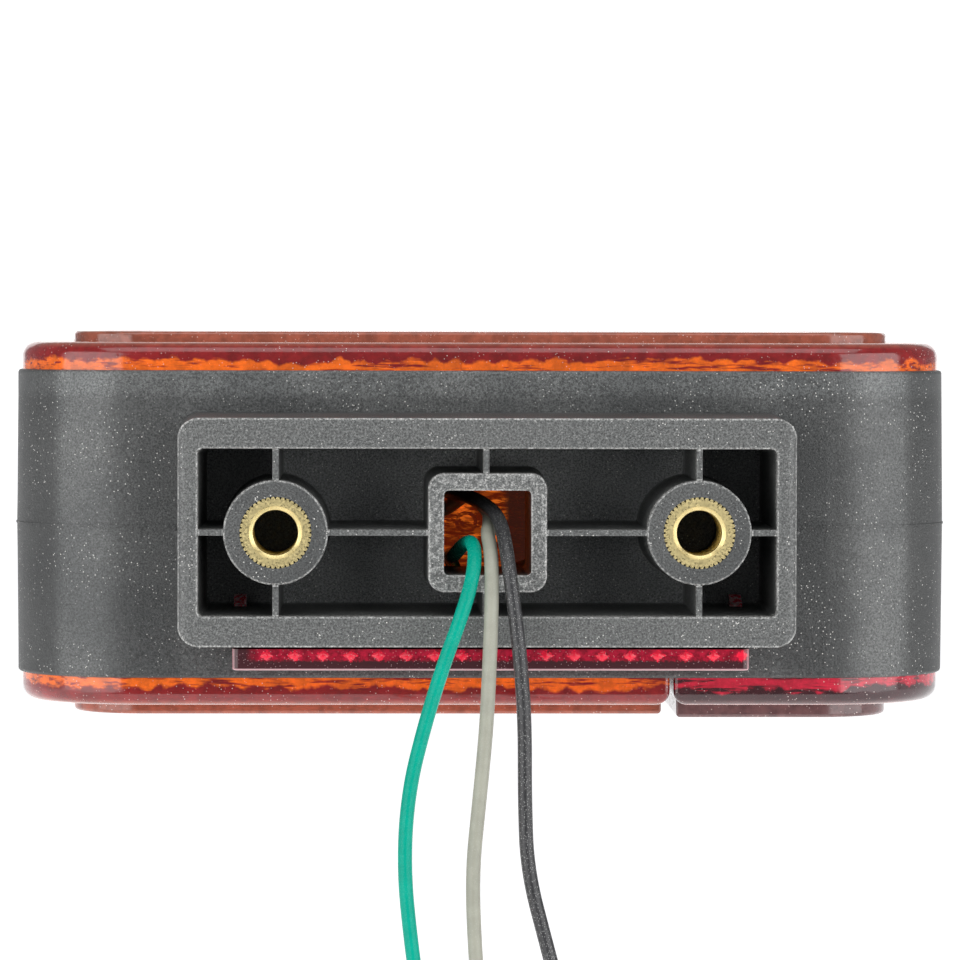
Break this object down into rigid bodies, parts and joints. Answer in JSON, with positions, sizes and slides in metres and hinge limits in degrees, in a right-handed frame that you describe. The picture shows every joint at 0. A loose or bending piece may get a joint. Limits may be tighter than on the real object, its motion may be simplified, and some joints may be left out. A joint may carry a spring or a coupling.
{
  "type": "trailer tail light",
  "caption": "Double-faced pedestal trailer lamp: black moulded body, amber front lens, amber and red rear lenses, clip-on red reflector, threaded inserts and loose wire leads.",
  "frame": {"origin": "midway between the two threaded inserts, on the plane of the pedestal mounting face", "axes": "+X along the length of the lamp towards the red lens, +Y from the mounting face into the lamp, +Z towards the all-amber lens"},
  "size_m": [0.1462, 0.1229, 0.206],
  "materials": {
    "body_plastic": "moulded, fine grain",
    "brass": "bright turned",
    "amber_lens": "clear amber acrylic",
    "red_lens": "clear red acrylic",
    "gasket_rubber": "soft closed-cell",
    "screw_steel": "zinc plated",
    "red_reflector": "clear red with prisms",
    "red_back": "red",
    "amber_liner": "fluted amber",
    "white_plastic": "white",
    "tinned_terminal": "tinned",
    "black_insulation": "soft extruded",
    "grey_insulation": "soft extruded",
    "green_insulation": "soft extruded",
    "copper_strand": "bare copper",
    "zinc_sheet": "zinc plated sheet",
    "insulator_board": "phenolic board",
    "bulb_cap": "satin",
    "solder": "soldered",
    "bulb_glass": "clear",
    "filament": "tungsten"
  },
  "bodies": {
    "root": {"amber_bracket": "zinc_sheet", "amber_bulb_base": "bulb_cap", "amber_bulb_button": "solder", "amber_bulb_filament": "filament", "amber_bulb_glass": "bulb_glass", "amber_bulb_stem": "bulb_glass", "amber_contact": "brass", "amber_insulator": "insulator_board", "amber_liner": "amber_liner", "amber_socket_shell": "zinc_sheet", "bracket_screws": "screw_steel", "front_lens_amber": "amber_lens", "front_lens_gasket": "gasket_rubber", "front_lens_screws": "screw_steel", "ground_jumper": "grey_insulation", "housing": "body_plastic", "inner_lead_black": "black_insulation", "inner_lead_green": "green_insulation", "inner_lead_grey": "grey_insulation", "insert_left": "brass", "insert_right": "brass", "lead_black": "black_insulation", "lead_green": "green_insulation", "lead_grey": "grey_insulation", "lead_tips": "copper_strand", "rear_amber_gasket": "gasket_rubber", "rear_amber_screws": "screw_steel", "rear_lens_amber": "amber_lens", "rear_lens_red": "red_lens", "rear_red_gasket": "gasket_rubber", "rear_red_screws": "screw_steel", "red_bracket": "zinc_sheet", "red_bulb_base": "bulb_cap", "red_bulb_button": "solder", "red_bulb_filament": "filament", "red_bulb_glass": "bulb_glass", "red_bulb_stem": "bulb_glass", "red_chamber_shield": "white_plastic", "red_contact": "brass", "red_insulator": "insulator_board", "red_socket_shell": "zinc_sheet", "reflector_back": "red_back", "reflector_face": "red_reflector", "ring_terminals": "tinned_terminal"}
  },
  "joints": []
}
